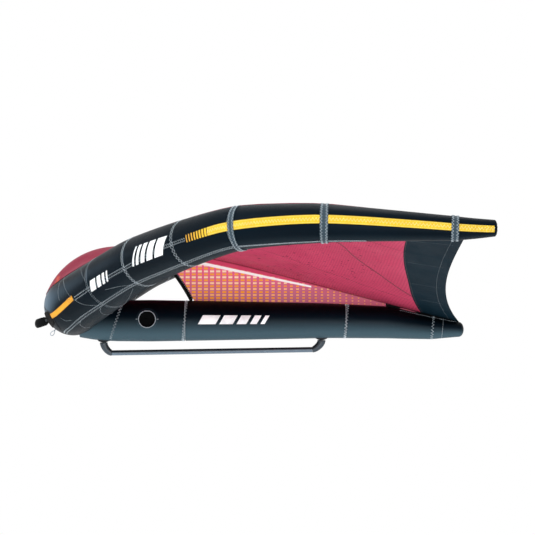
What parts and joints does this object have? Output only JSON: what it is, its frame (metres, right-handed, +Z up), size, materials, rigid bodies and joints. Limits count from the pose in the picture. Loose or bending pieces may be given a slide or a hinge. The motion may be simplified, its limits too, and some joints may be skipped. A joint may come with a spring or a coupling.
{
  "type": "inflatable hand wing",
  "caption": "Hand-held inflatable wing: air-filled leading edge and centre strut carrying a cloth canopy, with a rigid boom under the strut for the hands.",
  "frame": {"origin": "middle of the boom, on its axis, where the hands hold the wing", "axes": "+Z up towards the canopy, +X from nose to tail, Y across the wing, symmetric about Y = 0 apart from the valve"},
  "size_m": [2.1012, 2.959, 0.7027],
  "materials": {
    "casing_cloth": "satin",
    "band_cloth": "matte",
    "tape_cloth": "matte",
    "canopy_cloth": "satin",
    "trailing_cloth": "satin",
    "web_cloth": "satin",
    "binding_cloth": "matte",
    "bladder_film": "gloss",
    "hose_rubber": "matte",
    "boom_tube": "satin",
    "boom_moulding": "satin",
    "pad_rubber": "matte",
    "pin_steel": "brushed",
    "valve_moulding": "satin",
    "webbing_cloth": "matte",
    "handle_cover": "matte",
    "loop_line": "matte"
  },
  "bodies": {
    "wing": {"bladder_hose": "hose_rubber", "boom_bar": "boom_tube", "boom_elbow_front": "boom_moulding", "boom_elbow_rear": "boom_moulding", "boom_pad_front": "pad_rubber", "boom_pad_rear": "pad_rubber", "boom_pin_front": "pin_steel", "boom_pin_rear": "pin_steel", "canopy_panel_left_1": "canopy_cloth", "canopy_panel_left_2": "canopy_cloth", "canopy_panel_left_3": "canopy_cloth", "canopy_panel_right_1": "canopy_cloth", "canopy_panel_right_2": "canopy_cloth", "canopy_panel_right_3": "canopy_cloth", "edge_band_left_1": "band_cloth", "edge_band_left_2": "band_cloth", "edge_band_left_3": "band_cloth", "edge_band_right_1": "band_cloth", "edge_band_right_2": "band_cloth", "edge_band_right_3": "band_cloth", "edge_bladder": "bladder_film", "edge_casing_left_1": "casing_cloth", "edge_casing_left_2": "casing_cloth", "edge_casing_left_3": "casing_cloth", "edge_casing_left_4": "casing_cloth", "edge_casing_left_5": "casing_cloth", "edge_casing_left_6": "casing_cloth", "edge_casing_right_1": "casing_cloth", "edge_casing_right_2": "casing_cloth", "edge_casing_right_3": "casing_cloth", "edge_casing_right_4": "casing_cloth", "edge_casing_right_5": "casing_cloth", "edge_casing_right_6": "casing_cloth", "edge_tape_left": "tape_cloth", "edge_tape_right": "tape_cloth", "nose_casing": "casing_cloth", "nose_loop": "loop_line", "nose_webbing": "webbing_cloth", "strut_bladder": "bladder_film", "strut_casing_front": "casing_cloth", "strut_casing_middle": "casing_cloth", "strut_casing_rear": "casing_cloth", "strut_tail_casing": "casing_cloth", "tip_panel_left": "trailing_cloth", "tip_panel_right": "trailing_cloth", "trailing_panel_left_1": "trailing_cloth", "trailing_panel_left_2": "trailing_cloth", "trailing_panel_left_3": "trailing_cloth", "trailing_panel_right_1": "trailing_cloth", "trailing_panel_right_2": "trailing_cloth", "trailing_panel_right_3": "trailing_cloth", "valve_base": "valve_moulding", "web": "web_cloth", "web_binding": "binding_cloth"},
    "valve_cap": {"valve_cap": "valve_moulding"},
    "valve_plunger": {"valve_plunger": "pad_rubber"},
    "nose_handle": {"nose_handle": "handle_cover"}
  },
  "joints": [
    {"name": "valve_cap_hinge", "type": "hinge", "parent": "wing", "child": "valve_cap", "pos_m": [-0.308, -0.10434, 0.1975], "axis": [-1, 0, 0], "range_deg": [0, 110]},
    {"name": "valve_plunger_slide", "type": "slide", "parent": "wing", "child": "valve_plunger", "axis": [0, 1, 0], "range_m": [0, 0.004], "stiffness_N_per_m": 400},
    {"name": "nose_handle_hinge", "type": "hinge", "parent": "wing", "child": "nose_handle", "pos_m": [-0.79004, 0, 0.14916], "axis": [0, 1, 0], "range_deg": [-25, 25]}
  ]
}
